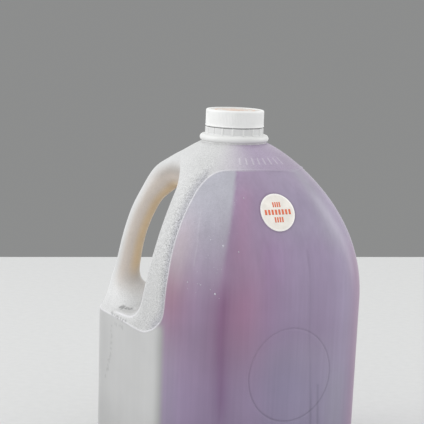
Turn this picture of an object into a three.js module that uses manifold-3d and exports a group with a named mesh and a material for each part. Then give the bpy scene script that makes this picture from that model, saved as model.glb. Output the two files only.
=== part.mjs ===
// One-gallon jug of tea: a square blow-moulded jug with a hollow corner handle, its tea, screw cap and stickers.
// Millimetres, +Z up, origin at the middle of the base. The handle stands in the XZ plane, towards -X.
import * as THREE from "three";
import { ParametricGeometry } from "three/addons/geometries/ParametricGeometry.js";
import { mergeVertices } from "three/addons/utils/BufferGeometryUtils.js";
import Module from "manifold-3d";

// Body: a rounded square whose faces lie at 45 degrees to X and Y.
const HALF_SIDE_FOOT = 74.45;
const HALF_SIDE = 76;
const CORNER_SHARE = 0.39; // corner radius as a share of the half side, below the dome
const SPRING_Z = 123.7; // the walls end and the dome begins
const DOME_RISE = 110.7; // vertical half axis of the dome's ellipse
const DOME_TOP_Z = 228.3; // the dome is round here and meets the neck
const HEEL_RADIUS = 11;
const STAND_WIDTH = 7; // flat ring that the jug stands on
const PUSH_UP = 5; // height of the recess under the base
const WALL = 1;
const GAP = 0.3; // clearance between neighbouring pieces

// Neck, from the dome upwards.
const BEAD_RADIUS = 24.4;
const BEAD_Z = 232;
const BEAD_ROUND = 2.7;
const COLLAR_RADIUS = 20;
const COLLAR_TOP_Z = 239.2;
const RIB_COUNT = 16;
const RIB_RADIUS = 20.45;
const RIB_WIDTH = 1.5;
const FINISH_RADIUS = 19.1;
const MOUTH_Z = 249.6;
const BORE_RADIUS = 16.8;

// Screw cap.
const CAP_RADIUS = 20.6;
const CAP_FOOT_Z = 239.8;
const CAP_TOP_Z = 252;
const CAP_RECESS = 0.9;
const CAP_RIM = 2.2;
const CAP_LABEL_RADIUS = 17.9;
const CAP_LABEL_THICK = 0.3;

// Hand hold: the corner behind the handle is scooped away right across the jug.
const SCOOP_FLOOR_Z = 106.5;
const SCOOP_FLOOR_X = -63;
const SCOOP_WALL_FOOT = [-46, 123.5];
const SCOOP_WALL_HEAD = [-27.6, 198];
const SCOOP_CROWN = [-33, 216];
const SCOOP_EXIT = [-64.5, 199];
const SCOOP_OUT_X = -120;

// Handle stations from the shoulder down to the corner: x, z, half depth, half width along Y, tilt of the
// cross-section in degrees (0 is level, 90 upright).
const HANDLE = [
  [-17, 201, 14, 17, 80],
  [-40, 204, 13.6, 16.2, 70],
  [-50.5, 199.3, 11.3, 13.2, 48],
  [-59.2, 188, 9, 11.4, 29],
  [-65.3, 176, 8.2, 10.8, 22],
  [-69.7, 164, 7.9, 10.8, 17],
  [-72.8, 152, 7.9, 11, 12],
  [-75, 140, 8.2, 11.4, 7],
  [-76, 131, 9.5, 12.6, 2],
  [-74.7, 125, 12, 14.8, 0],
  [-71.5, 119, 16.6, 18.6, 0],
  [-68.2, 112, 22, 24, 0],
  [-66.4, 106, 26.8, 28, 0],
  [-66, 99, 26.8, 28, 0],
];

// Round sticker on the dome and the ring groove on the face below it, both on the +X -Y face.
const LABEL_RADIUS = 13.5;
const LABEL_Z = 186.4;
const LABEL_THICK = 0.35;
const RING_RADIUS = 32.6;
const RING_SHIFT = 7.3; // from the middle of the face towards +X
const RING_Z = 75.3;
const RING_GROOVE = 0.55;

const FILL_Z = 224; // level of the tea

const ROUND_STEPS = 48;

const wasm = await Module();
wasm.setup();

// A three.js geometry as a closed solid.
function solid(geometry) {
  const flat = geometry.clone();
  flat.deleteAttribute("normal");
  flat.deleteAttribute("uv");
  const merged = mergeVertices(flat, 1e-4);
  const index = merged.index.array;
  const kept = [];
  for (let i = 0; i < index.length; i += 3) {
    const [a, b, c] = [index[i], index[i + 1], index[i + 2]];
    if (a !== b && b !== c && a !== c) {
      kept.push(a, b, c);
    }
  }
  const vertProperties = new Float32Array(merged.attributes.position.array);
  const triVerts = new Uint32Array(kept);
  const made = new wasm.Manifold(new wasm.Mesh({ numProp: 3, vertProperties, triVerts }));
  if (made.volume() >= 0) {
    return made;
  }
  for (let i = 0; i < triVerts.length; i += 3) {
    [triVerts[i + 1], triVerts[i + 2]] = [triVerts[i + 2], triVerts[i + 1]];
  }
  return new wasm.Manifold(new wasm.Mesh({ numProp: 3, vertProperties, triVerts }));
}

// Half side and corner radius of the body at height z, moved inwards by inset.
function section(z, inset) {
  const rise = DOME_RISE - inset;
  const t = Math.min(Math.max((z - SPRING_Z) / rise, 0), 0.9995);
  const straight = HALF_SIDE_FOOT + (HALF_SIDE - HALF_SIDE_FOOT) * Math.max(z / SPRING_Z, 0);
  const side = z < SPRING_Z ? straight - inset : (HALF_SIDE - inset) * Math.sqrt(1 - t * t);
  const up = Math.min(Math.max((z - SPRING_Z) / (DOME_TOP_Z - SPRING_Z), 0), 1);
  const share = CORNER_SHARE + (1 - CORNER_SHARE) * Math.pow(up, 2.8);
  return { side, corner: side * share };
}

// Distance from the axis to a rounded square's outline in direction phi.
function outline(phi, side, corner) {
  const quarter = Math.PI / 2;
  const fromFace = Math.abs((((phi % quarter) + quarter) % quarter) - quarter / 2);
  if (side * Math.tan(fromFace) <= side - corner) {
    return side / Math.cos(fromFace);
  }
  const centre = (side - corner) * Math.SQRT2;
  const fromCorner = quarter / 2 - fromFace;
  const across = centre * Math.sin(fromCorner);
  return centre * Math.cos(fromCorner) + Math.sqrt(corner * corner - across * across);
}

// A closed skin through stations { z, side, corner }, each a rounded square; side 0 closes it on the axis.
function skin(stations) {
  const last = stations.length - 1;
  const place = (u, v, target) => {
    const turn = u * 2 * Math.PI;
    const phi = turn - 0.15 * Math.sin(4 * turn);
    const { z, side, corner } = stations[Math.round(v * last)];
    const r = side > 0 ? outline(phi, side, corner) : 0;
    target.set(r * Math.cos(phi), r * Math.sin(phi), z);
  };
  return solid(new ParametricGeometry(place, ROUND_STEPS, last));
}

// Base, heel and walls up to the top of the dome, moved inwards by inset.
function bodyStations(inset) {
  const foot = section(0, inset);
  const heel = HEEL_RADIUS - inset;
  const pulled = (by, z) => {
    const side = foot.side - by;
    return { z: z + inset, side, corner: Math.max(foot.corner - by, side * 0.35) };
  };
  const list = [
    { z: PUSH_UP + inset, side: 0, corner: 0 },
    pulled(heel + STAND_WIDTH + 14, PUSH_UP),
    pulled(heel + STAND_WIDTH, 0),
  ];
  const heelSteps = 4;
  for (let i = 0; i <= heelSteps; i++) {
    const a = (i / heelSteps) * (Math.PI / 2);
    list.push(pulled(heel * (1 - Math.sin(a)), heel * (1 - Math.cos(a))));
  }
  list.push({ z: SPRING_Z, ...section(SPRING_Z, inset) });
  const domeSteps = 13;
  const reach = Math.asin((DOME_TOP_Z - SPRING_Z) / DOME_RISE);
  for (let i = 1; i <= domeSteps; i++) {
    const z = SPRING_Z + (DOME_RISE - inset) * Math.sin((reach * i) / domeSteps);
    list.push({ z, ...section(z, inset) });
  }
  return list;
}

const ring = (radius, z) => ({ z, side: radius, corner: radius });

function neckStations() {
  const list = [ring(23.4, DOME_TOP_Z + 0.7)];
  const beadSteps = 5;
  for (let i = 0; i <= beadSteps; i++) {
    const a = THREE.MathUtils.degToRad(-75 + (150 * i) / beadSteps);
    const out = BEAD_RADIUS - BEAD_ROUND + BEAD_ROUND * Math.cos(a);
    list.push(ring(out, BEAD_Z + BEAD_ROUND * Math.sin(a)));
  }
  list.push(ring(COLLAR_RADIUS, BEAD_Z + BEAD_ROUND + 0.2));
  list.push(ring(COLLAR_RADIUS, COLLAR_TOP_Z));
  list.push(ring(FINISH_RADIUS, COLLAR_TOP_Z + 0.4));
  list.push(ring(FINISH_RADIUS, MOUTH_Z - 0.6));
  list.push(ring(FINISH_RADIUS - 0.6, MOUTH_Z));
  list.push({ z: MOUTH_Z, side: 0, corner: 0 });
  return list;
}

// The scoop as one profile in the XZ plane carried right across the jug; grow makes it larger all round.
function scoop(grow) {
  const depth = 240;
  const shape = new THREE.Shape();
  shape.moveTo(SCOOP_OUT_X, SCOOP_FLOOR_Z - grow);
  shape.lineTo(SCOOP_FLOOR_X, SCOOP_FLOOR_Z - grow);
  const bend = SCOOP_WALL_FOOT[0] - 4 + grow;
  shape.quadraticCurveTo(bend, SCOOP_FLOOR_Z - grow, SCOOP_WALL_FOOT[0] + grow, SCOOP_WALL_FOOT[1]);
  shape.lineTo(SCOOP_WALL_HEAD[0] + grow, SCOOP_WALL_HEAD[1]);
  const brow = SCOOP_WALL_HEAD[0] + 1.2 + grow;
  shape.quadraticCurveTo(brow, SCOOP_WALL_HEAD[1] + 9, SCOOP_CROWN[0] + grow, SCOOP_CROWN[1] + grow);
  const arch = SCOOP_CROWN[1] - 2 + grow;
  shape.quadraticCurveTo(SCOOP_EXIT[0] + 13, arch, SCOOP_EXIT[0], SCOOP_EXIT[1] + grow);
  shape.lineTo(SCOOP_OUT_X, SCOOP_EXIT[1] + 8);
  const cutter = new THREE.ExtrudeGeometry(shape, { depth, bevelEnabled: false, curveSegments: 7 });
  cutter.rotateX(Math.PI / 2);
  cutter.translate(0, depth / 2, 0);
  return solid(cutter);
}

// The handle as an oval swept down its stations, made smaller all round by inset.
function handle(inset) {
  const middle = new THREE.CatmullRomCurve3(HANDLE.map(([x, z]) => new THREE.Vector3(x, 0, z)));
  const ovals = new THREE.CatmullRomCurve3(HANDLE.map((row) => new THREE.Vector3(...row.slice(2))));
  const lengthSteps = 2 * (HANDLE.length - 1);
  const last = lengthSteps + 2;
  const place = (u, v, target) => {
    const row = Math.round(v * last);
    const t = Math.min(Math.max((row - 1) / lengthSteps, 0), 1);
    const at = middle.getPoint(t);
    const oval = ovals.getPoint(t);
    const open = row === 0 || row === last ? 0 : 1;
    const a = u * 2 * Math.PI;
    const tilt = THREE.MathUtils.degToRad(oval.z);
    const deep = open * (oval.x - inset) * Math.cos(a);
    const wide = open * (oval.y - inset) * Math.sin(a);
    target.set(at.x - Math.cos(tilt) * deep, wide, at.z + Math.sin(tilt) * deep);
  };
  return solid(new ParametricGeometry(place, 20, last));
}

// Body with the scoop taken out and the handle put in, closed on top by the given stations.
function jugForm(inset, topStations) {
  return skin([...bodyStations(inset), ...topStations]).subtract(scoop(inset)).add(handle(inset));
}

function collarRibs() {
  const height = COLLAR_TOP_Z - BEAD_Z - BEAD_ROUND + 0.6;
  const ribs = [];
  for (let i = 0; i < RIB_COUNT; i++) {
    const rib = new THREE.BoxGeometry(2, RIB_WIDTH, height);
    rib.translate(RIB_RADIUS - 1, 0, COLLAR_TOP_Z - height / 2);
    rib.rotateZ(((i + 0.3) / RIB_COUNT) * 2 * Math.PI);
    ribs.push(solid(rib));
  }
  return ribs;
}

// Shallow ring groove in the +X -Y face, which leans out a little towards the top.
function ringGroove() {
  const groove = new THREE.TorusGeometry(RING_RADIUS, RING_GROOVE, 6, 40);
  groove.rotateX(Math.PI / 2);
  groove.rotateX(Math.atan((HALF_SIDE - HALF_SIDE_FOOT) / SPRING_Z));
  groove.translate(RING_SHIFT, -section(RING_Z, 0).side, RING_Z);
  groove.rotateZ(Math.PI / 4);
  return solid(groove);
}

function makeJug() {
  const above = MOUTH_Z + 6;
  const closed = { z: above, side: 0, corner: 0 };
  const bore = [ring(BORE_RADIUS, DOME_TOP_Z + 2), ring(BORE_RADIUS, above), closed];
  let jug = jugForm(0, neckStations());
  for (const rib of collarRibs()) {
    jug = jug.add(rib);
  }
  return jug.subtract(ringGroove()).subtract(jugForm(WALL, bore));
}

function makeTea() {
  const inset = WALL + GAP;
  const lid = [{ z: DOME_TOP_Z - inset, side: 0, corner: 0 }];
  const air = new THREE.BoxGeometry(300, 300, 100);
  air.translate(0, 0, FILL_Z + 50);
  return jugForm(inset, lid).subtract(solid(air));
}

function makeCap() {
  const inner = FINISH_RADIUS + GAP;
  const plate = MOUTH_Z + GAP;
  const profile = [
    [0, plate],
    [inner, plate],
    [inner, CAP_FOOT_Z],
    [CAP_RADIUS - 0.3, CAP_FOOT_Z],
    [CAP_RADIUS, CAP_FOOT_Z + 0.3],
    [CAP_RADIUS, CAP_TOP_Z - 1.3],
    [CAP_RADIUS - 0.35, CAP_TOP_Z - 0.45],
    [CAP_RADIUS - 1.2, CAP_TOP_Z],
    [CAP_RADIUS - CAP_RIM, CAP_TOP_Z],
    [CAP_RADIUS - CAP_RIM - 0.3, CAP_TOP_Z - CAP_RECESS],
    [0, CAP_TOP_Z - CAP_RECESS],
  ].map(([r, z]) => new THREE.Vector2(r, z));
  const lathe = new THREE.LatheGeometry(profile, ROUND_STEPS);
  lathe.rotateX(Math.PI / 2);
  return solid(lathe);
}

function makeCapLabel() {
  const disc = new THREE.CylinderGeometry(CAP_LABEL_RADIUS, CAP_LABEL_RADIUS, CAP_LABEL_THICK, ROUND_STEPS);
  disc.rotateX(Math.PI / 2);
  disc.translate(0, 0, CAP_TOP_Z - CAP_RECESS + GAP + CAP_LABEL_THICK / 2);
  return solid(disc);
}

// The sticker follows the dome: a round piece cut from a thin skin just outside it.
function makeLabel() {
  const lid = (out) => [{ z: DOME_TOP_Z + out, side: 0, corner: 0 }];
  const outer = skin([...bodyStations(-GAP - LABEL_THICK), ...lid(GAP + LABEL_THICK)]);
  const under = skin([...bodyStations(-GAP), ...lid(GAP)]);
  const side = section(LABEL_Z, 0).side;
  const lean = Math.atan2(section(LABEL_Z - 1, 0).side - section(LABEL_Z + 1, 0).side, 2);
  const punch = new THREE.CylinderGeometry(LABEL_RADIUS, LABEL_RADIUS, 24, 40);
  punch.rotateX(-lean);
  punch.translate(0, -side, LABEL_Z);
  punch.rotateZ(Math.PI / 4);
  return outer.subtract(under).intersect(solid(punch));
}

function addPiece(group, name, made, material) {
  const { vertProperties, triVerts } = made.getMesh();
  const geometry = new THREE.BufferGeometry();
  geometry.setAttribute("position", new THREE.BufferAttribute(vertProperties, 3));
  geometry.setIndex(new THREE.BufferAttribute(triVerts, 1));
  geometry.computeVertexNormals();
  const mesh = new THREE.Mesh(geometry, new THREE.MeshStandardMaterial(material));
  mesh.name = name;
  group.add(mesh);
}

const jugOfTea = new THREE.Group();
jugOfTea.name = "jug_of_tea";
addPiece(jugOfTea, "jug", makeJug(), { color: 0xcfcad2, roughness: 0.45, metalness: 0 });
addPiece(jugOfTea, "tea", makeTea(), { color: 0x8f7391, roughness: 0.15, metalness: 0 });
addPiece(jugOfTea, "cap", makeCap(), { color: 0xe6e6e6, roughness: 0.4, metalness: 0 });
addPiece(jugOfTea, "cap_label", makeCapLabel(), { color: 0xe2cbb4, roughness: 0.55, metalness: 0 });
addPiece(jugOfTea, "label", makeLabel(), { color: 0xece7dc, roughness: 0.5, metalness: 0 });

export default jugOfTea;
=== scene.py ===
import math

import bmesh
import bpy
import numpy as np
from mathutils import Matrix, Vector
from mathutils.kdtree import KDTree


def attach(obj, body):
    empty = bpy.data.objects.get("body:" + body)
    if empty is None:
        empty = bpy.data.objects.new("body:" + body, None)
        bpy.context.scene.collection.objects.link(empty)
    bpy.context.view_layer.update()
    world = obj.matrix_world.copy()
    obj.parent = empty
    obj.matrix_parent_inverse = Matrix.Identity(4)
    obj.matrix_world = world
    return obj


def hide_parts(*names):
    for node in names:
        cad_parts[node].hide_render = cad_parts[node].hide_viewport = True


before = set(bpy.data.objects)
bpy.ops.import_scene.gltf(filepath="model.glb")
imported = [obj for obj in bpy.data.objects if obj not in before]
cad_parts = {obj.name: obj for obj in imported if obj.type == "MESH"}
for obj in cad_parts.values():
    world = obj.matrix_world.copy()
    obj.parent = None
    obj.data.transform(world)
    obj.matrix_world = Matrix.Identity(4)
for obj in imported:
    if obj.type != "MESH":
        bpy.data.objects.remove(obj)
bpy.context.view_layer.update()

scene = bpy.context.scene

MM = 0.001
SQRT2 = math.sqrt(2)
SEED = 7
FAR = 60  # further off than any reach that is asked for
TINY = 1e-6  # keeps a division from failing
WELD = 1e-7  # points closer than this, in metres, become one

# Body: a rounded square whose faces lie at 45 degrees to X and Y.
HALF_SIDE_FOOT = 74.45
HALF_SIDE = 76
CORNER_SHARE = 0.39
SPRING_Z = 123.7
DOME_RISE = 110.7
DOME_TOP_Z = 228.3
DOME_SHARE = 0.9995  # its curve stops just short of the pole
CORNER_POWER = 2.8  # how late its corners turn round on the way up
SAG = 1.1  # how far the dome draws in near its top, on the handle's side
SAG_Z = 222
SAG_WIDTH = 6
SAG_FULL_X = -25  # it grows from the axis to here
HEEL_RADIUS = 11
STAND_WIDTH = 7
PUSH_UP = 5
PUSH_UP_SLOPE = 14
SKIN_TOP_Z = 229
SKIN_STEP = 2  # grid step of the skin and of the tea
GRID_SIDE = 99  # the grid reaches this far from the axis
GRID_MARGIN = 3  # and this far past the base and the top
TEA_INSET = 0.8  # the tea reaches just into the wall
FILL_Z = 224

# Neck, from the dome upwards.
NECK_FOOT_RADIUS = 23
NECK_SUNK = 2  # how far its foot reaches down into the dome
BEAD_RADIUS = 24.4
BEAD_Z = 232
BEAD_ROUND = 2.5
COLLAR_RADIUS = 20.3
COLLAR_TOP_Z = 239.5
COLLAR_FILLET = 0.8
COLLAR_EDGE = 0.4
RIB_COUNT = 17
RIB_HEIGHT = 0.45
RIB_WIDTH = 1.1
RIB_SHIFT = 0.3  # where the first rib stands, as a share of the pitch
FINISH_RADIUS = 19.1
FINISH_HIDDEN = 2  # how far it reaches up into the cap

# Screw cap, and the printed disc in its recess.
CAP_RADIUS = 20.6
CAP_FOOT_Z = 240.1
CAP_TOP_Z = 252
CAP_RECESS = 0.9
CAP_RIM = 2.2
CAP_EDGE = 1.1  # roundness of the top edge, and of the rim's inner edge
CAP_RIM_EDGE = 0.3
CAP_BEAD = 0.6  # roundness of the bead at the foot, and how far it stands out
CAP_BEAD_OUT = 0.25
CAP_GAP = 0.3  # between the cap and the neck
KNURL_COUNT = 120
KNURL_DEPTH = 0.22
KNURL_LOW = (1.4, 2.4)  # they fade in over these heights above the cap's foot
KNURL_HIGH = (2.6, 1.2)  # and out over these depths below its top
CAP_LABEL_RADIUS = 17.9
CAP_LABEL_LIFT = 0.3
CAP_LABEL_EDGE = 0.1
CAP_RING = (13.3, 14.3)  # inner and outer radius of the printed ring
CAP_RING_STEP = 4  # degrees of one stretch of it
CAP_RING_GAP = 12  # degrees left bare in each quarter
CAP_BARS = [(5.2, 5), (0, 9.5), (-5.2, 5)]  # place across and half length of a printed bar
CAP_BAR_HALF = 1.2

# Hand hold: the corner behind the handle is scooped away right across the jug.
SCOOP_FLOOR_Z = 106.5
SCOOP_FLOOR_X = -63
SCOOP_WALL_FOOT = (-46, 123.5)
SCOOP_WALL_HEAD = (-27.6, 198)
SCOOP_CROWN = (-33, 216)
SCOOP_EXIT = (-54, 209)
SCOOP_OUT_X = -120
SCOOP_EDGE = 4.5  # softness of its edges, and of the ledge at its foot
LEDGE_EDGE = 6
LEDGE_Z = (126, 108)  # the softness changes over between these heights
HANDLE_BLEND = 2.5  # softness where the handle meets the body, and on its flanks at the shoulder
SHOULDER_BLEND = 5
SHOULDER_Z = (184, 204)
SHOULDER_SIDE = (0.95, 0.4)  # place across the handle, from 1 on its outside

# Handle stations from the shoulder down to the corner: x, z, half depth, half width along Y, tilt of the
# cross-section in degrees.
HANDLE = [
    (-17, 202.3, 14.3, 36, 80),
    (-32, 205.8, 13.9, 27.5, 74),
    (-42.6, 204.6, 10.5, 16, 66),
    (-50.4, 199.2, 10.6, 12.6, 48),
    (-59, 188, 8.5, 11.4, 29),
    (-65.3, 176, 8.2, 10.8, 22),
    (-69.7, 164, 7.9, 10.8, 17),
    (-72.8, 152, 7.9, 11, 12),
    (-75, 140, 8.2, 11.4, 7),
    (-76.4, 132, 8.8, 12.2, 2),
    (-76.9, 127.5, 9.8, 13.4, 1),
    (-76.6, 123.5, 11, 15, 0),
    (-74.4, 119.5, 14, 17.8, 0),
    (-70.6, 115, 19, 21.6, 0),
    (-67.4, 110, 23.8, 25.4, 0),
    (-66.2, 105, 26.8, 28, 0),
    (-66, 99, 26.8, 28, 0),
]
HANDLE_STEPS = 5  # steps between two stations
HANDLE_FADE_Z = 107  # the handle fades into the body below this
HANDLE_FADE = 0.8  # and does so this fast
HANDLE_REACH_Y = 45  # nothing of the handle lies beyond this
AWAY_HALF = 10  # half depth and half width that a point beyond its ends is given

# Mould line around the stippled grip: angle and height, one half of the loop.
MOULD_LINE = [
    (180, 104),
    (150, 101.6),
    (127, 99.4),
    (117, 102),
    (109.5, 108),
    (104.9, 117),
    (103.4, 138),
    (102, 165),
    (99.5, 190),
    (95.5, 205),
    (86.5, 212.2),
    (68, 213.8),
    (45, 213.4),
    (20, 212.6),
    (0, 212.4),
]
LINE_FOOT = MOULD_LINE[2]  # its lowest and highest points
LINE_HEAD = MOULD_LINE[11]
LINE_TOP_Z = (212.6, LINE_HEAD[1])  # above this, all around, the wall is cloudy
LINE_STEPS = 60  # steps between two rows
LINE_HEIGHT = 0.45
LINE_WIDTH = 0.58
LINE_NEAR = 14  # distances from the line are told apart up to this

# The scoop's rim stands a little proud from the ledge up to its crown.
CREST_START = (-76, 106.5)
CREST_STEP = 0.5
CREST_HEIGHT = 0.15
CREST_WIDTH = 0.8

# Shallow creases down the +X -Y face, and the mark of a run of drops: angle and height.
CREASES = [
    [(-30, 160), (-29.3, 106), (-26.3, 56), (-25, 24)],
    [(-22.8, 66), (-21, 24)],
]
CREASE_DEPTH = 0.2
CREASE_WIDTH = 1.1
CREASE_SHADE = (0.06, 0.12)  # how dark they are, and how much darker below the ring's middle
DRIP = [(-91.5, 188), (-90, 166), (-90.4, 153)]
DRIP_HEIGHT = 0.1
DRIP_WIDTH = 0.4
DRIP_PALE = 0.12
TRACE_STEP = 0.4  # between two points of these lines

# Dark flecks on the ledge and the face below it: two ends, number of flecks, and how dark they are.
DARK_FLECKS = [
    ((-73, -26, 108), (-63, -27.6, 107.5), 9, 0.55),
    ((-77.5, -28, 103), (-61, -45, 101.6), 10, 0.4),
    ((-76, -31, 97), (-62, -45, 97), 5, 0.2),
    ((-77, -30, 96), (-77, -29.5, 76), 7, 0.16),
    ((-77, -29.5, 76), (-82.5, -24, 56), 8, 0.2),
]
FLECK_WIDTH = 0.75
FLECK_LENGTH = 2.2
FLECK_SCATTER = 0.5

# Drops on the front: angle towards -Y, height and radius of the large ones, then the fine, scattered ones.
DROPS = [
    (78.6, 166.5, 0.7), (80.9, 135.2, 0.65), (84.4, 170.2, 0.42), (93.9, 180.7, 0.42),
    (71.1, 162.2, 0.42), (92.4, 142.2, 0.38), (86.8, 141, 0.34), (68, 196.6, 0.38),
]
FINE_DROPS = 45
FINE_DROP_ANGLE = (84, 6)  # middle and spread
FINE_DROP_Z = (132, 196)
FINE_DROP_RADIUS = (0.12, 0.12)  # the least, and what chance adds
DROP_FLAT = 0.7  # how high a drop stands and how long it hangs, as shares of its radius
DROP_LONG = 1.15

# Ring groove on the +X -Y face, and a row of plain raised bars on the shoulder above that face.
RING_RADIUS = 32.6
RING_SHIFT = 7.3
RING_Z = 75.3
RING_DEPTH = 0.35
RING_WIDTH = 0.55
RING_SHADE = (0.11, 0.08)  # how dark it is, and how much darker towards its foot
BAR_ANGLES = (-69, -22)
BAR_COUNT = 8
BAR_Z = (217.2, 220.8)  # their ends
BAR_HEIGHT = 0.35
BAR_WIDTH = 0.45
BAR_PALE = 0.5
REFINE_REACHES = (2.8, 1.6)  # faces this near to a line are split, once for each
RELIEF_REACH = 4  # a line has no effect beyond this

# Round sticker on the dome of the same face.
LABEL_RADIUS = 13.5
LABEL_Z = 186.8
LABEL_LIFT = 0.3
PRINT_LIFT = 0.04
PRINT_ROWS = [(5.4, 4, 1.7), (0, 8, 2.7), (-5.4, 4, 1.9)]  # height, number and pitch of a row of blocks
PRINT_BLOCK_SHARE = 0.62  # width of a block, as a share of the pitch
PRINT_BLOCK_HEIGHT = 3.7
LABEL_RIM = 1  # width of the sticker's bare rim
LABEL_EDGE = 0.12
LABEL_SUNK = 0.3  # how far its edge reaches into the wall
LABEL_SHADE = 0.22  # shade around the sticker's edge, and its width
LABEL_SHADE_WIDTH = 0.8

# Colours of the milky wall, linear: the tea shows through it as mauve; the handle's side is paler, partly a
# cloudier wall and partly painted light.
MAUVE = np.array([0.308, 0.226, 0.345])
LAVENDER = np.array([0.326, 0.281, 0.393])
BLUE_GREY = np.array([0.28, 0.241, 0.355])
ROSE = np.array([0.342, 0.211, 0.33])
DEEP_ROSE = np.array([0.335, 0.178, 0.293])
# Painted light on the side that faces the key lamp, plain and rose-tinted.
PAINTED_LIGHT = np.array([0.415, 0.41, 0.465])
PAINTED_ROSE_LIGHT = np.array([0.4, 0.32, 0.375])
TOP_MAUVE = np.array([0.371, 0.304, 0.416])
PALE = np.array([0.48, 0.48, 0.48])
GRIP = np.array([0.575, 0.575, 0.577])
GRIP_SHADE = np.array([0.37, 0.366, 0.405])
CREAM = np.array([0.57, 0.505, 0.455])
TAN = np.array([0.74, 0.56, 0.35])
LINE_PALE = np.array([0.72, 0.71, 0.74])
BEAD = np.array([0.72, 0.72, 0.715])
COLLAR = np.array([0.65, 0.65, 0.65])

# Dark edge of the light that falls through the jug: height and angle.
SHADE_EDGE = [(55, 77.9), (80, 78.5), (105, 79.2), (137, 78.5), (170, 75.8), (212, 72.4)]

# Colours of the other pieces and of the stage.
PAPER = np.array([0.84, 0.8, 0.745])
PAPER_RIM = np.array([0.93, 0.9, 0.87])
ORANGE = (0.75, 0.16, 0.07)
CAP_WHITE = (0.82, 0.82, 0.815)
# The cap's disc is greyed and tanned, partly painted shade in its recess.
CAP_PAPER_SHADED = (0.66, 0.62, 0.58)
CAP_INK = (0.74, 0.47, 0.35)
DROP_GREY = (0.55, 0.53, 0.6)
TEA_DARK = (0.22, 0.14, 0.23)
TEA_LIGHT = (0.28, 0.18, 0.29)
FLOOR_GREY = (0.62, 0.62, 0.62)
WALL_GREY = (0.265, 0.268, 0.267)

# Texture of the milky wall: noise scales of its streaks along X, Y and Z, and of its grain.
BROAD_STREAKS = (90, 90, 4)
FINE_STREAKS = (420, 420, 14)
GRAIN_SCALE = 1100
GRAIN_DEPTH = 0.0012  # in metres

# Camera, as in the photograph: angles in degrees, distance from a point on the axis, and the place in the
# picture where that point falls.
PICTURE = 424
CAMERA_AZIMUTH = 14.46
CAMERA_ELEVATION = 8.53
CAMERA_ROLL = 2.3
CAMERA_DISTANCE = 1276.5
CAMERA_TARGET_Z = 158.24
CAMERA_FOCAL = 1784.8  # in pixels of the picture
TARGET_PIXEL = (229.99, 240.04)
SENSOR = 36
FLOOR_EDGE_PIXEL = 257  # the floor's far edge lies level at this height in the picture
FLOOR_SIZE = 4000

# Light: the room, and two softboxes with their angle leftwards from the camera, elevation, distance and
# size in metres, and power.
ROOM_LIGHT = 3.7
KEY_LIGHT = (80, 25, 1.6, (1.2, 1.4), 9)
RIM_LIGHT = (-108, 20, 1.8, (0.7, 1.2), 5)
LIGHT_TARGET_Z = 0.13  # in metres


def ramp(low, high, value):
    """A smooth step from 0 at low to 1 at high, which may lie either way round."""
    t = np.clip((value - low) / (high - low), 0, 1)
    return t * t * (3 - 2 * t)


def hump(value, middle, width):
    return np.exp(-(((value - middle) / width) ** 2))


def smooth_max(a, b, reach):
    h = np.maximum(reach - np.abs(a - b), 0) / reach
    return np.maximum(a, b) + h * h * reach / 4


def smooth_min(a, b, reach):
    return -smooth_max(-a, -b, reach)


def spline(rows, steps):
    """Catmull-Rom curve through rows of numbers, with that many steps between two of them."""
    rows = np.array(rows, float)
    padded = np.vstack([2 * rows[0] - rows[1], rows, 2 * rows[-1] - rows[-2]])
    points = []
    for a, b, c, d in zip(padded, padded[1:], padded[2:], padded[3:]):
        for t in np.arange(steps) / steps:
            bend = (2 * a - 5 * b + 4 * c - d) * t * t + (3 * b - a - 3 * c + d) * t**3
            points.append(0.5 * (2 * b + (c - a) * t + bend))
    return np.array(points + [rows[-1]])


def quadratic(start, control, end, steps):
    """Points of a curve from start to end that bends towards control, without the first."""
    t = np.linspace(0, 1, steps + 1)[1:, None]
    start, control, end = (np.array(p, float) for p in (start, control, end))
    return list((1 - t) ** 2 * start + 2 * t * (1 - t) * control + t * t * end)


def half_side(z):
    t = np.clip((z - SPRING_Z) / DOME_RISE, 0, DOME_SHARE)
    straight = HALF_SIDE_FOOT + (HALF_SIDE - HALF_SIDE_FOOT) * np.maximum(z, 0) / SPRING_Z
    return np.where(z < SPRING_Z, straight, HALF_SIDE * np.sqrt(1 - t * t))


def corner_share(z):
    up = np.clip((z - SPRING_Z) / (DOME_TOP_Z - SPRING_Z), 0, 1)
    return CORNER_SHARE + (1 - CORNER_SHARE) * up**CORNER_POWER


def plan_distance(x, y, z):
    """Signed distance in plan from the body's rounded square at height z."""
    side = half_side(z)
    corner = side * corner_share(z)
    u = np.abs(x + y) / SQRT2 - side + corner
    v = np.abs(x - y) / SQRT2 - side + corner
    outside = np.hypot(np.maximum(u, 0), np.maximum(v, 0))
    return outside + np.minimum(np.maximum(u, v), 0) - corner


def body_distance(x, y, z):
    level = plan_distance(x, y, z) + SAG * hump(z, SAG_Z, SAG_WIDTH) * ramp(0, SAG_FULL_X, x)
    slope = plan_distance(x, y, z + 0.5) - plan_distance(x, y, z - 0.5)
    wall = level / np.sqrt(1 + slope * slope)
    inwards = -plan_distance(x, y, np.zeros_like(z)) - HEEL_RADIUS - STAND_WIDTH
    under = PUSH_UP * ramp(0, PUSH_UP_SLOPE, inwards) - z
    wall_near = np.maximum(wall + HEEL_RADIUS, 0)
    under_near = np.maximum(under + HEEL_RADIUS, 0)
    form = np.hypot(wall_near, under_near) + np.minimum(np.maximum(wall, under), -HEEL_RADIUS)
    return np.maximum(form, z - SKIN_TOP_Z)


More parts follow.
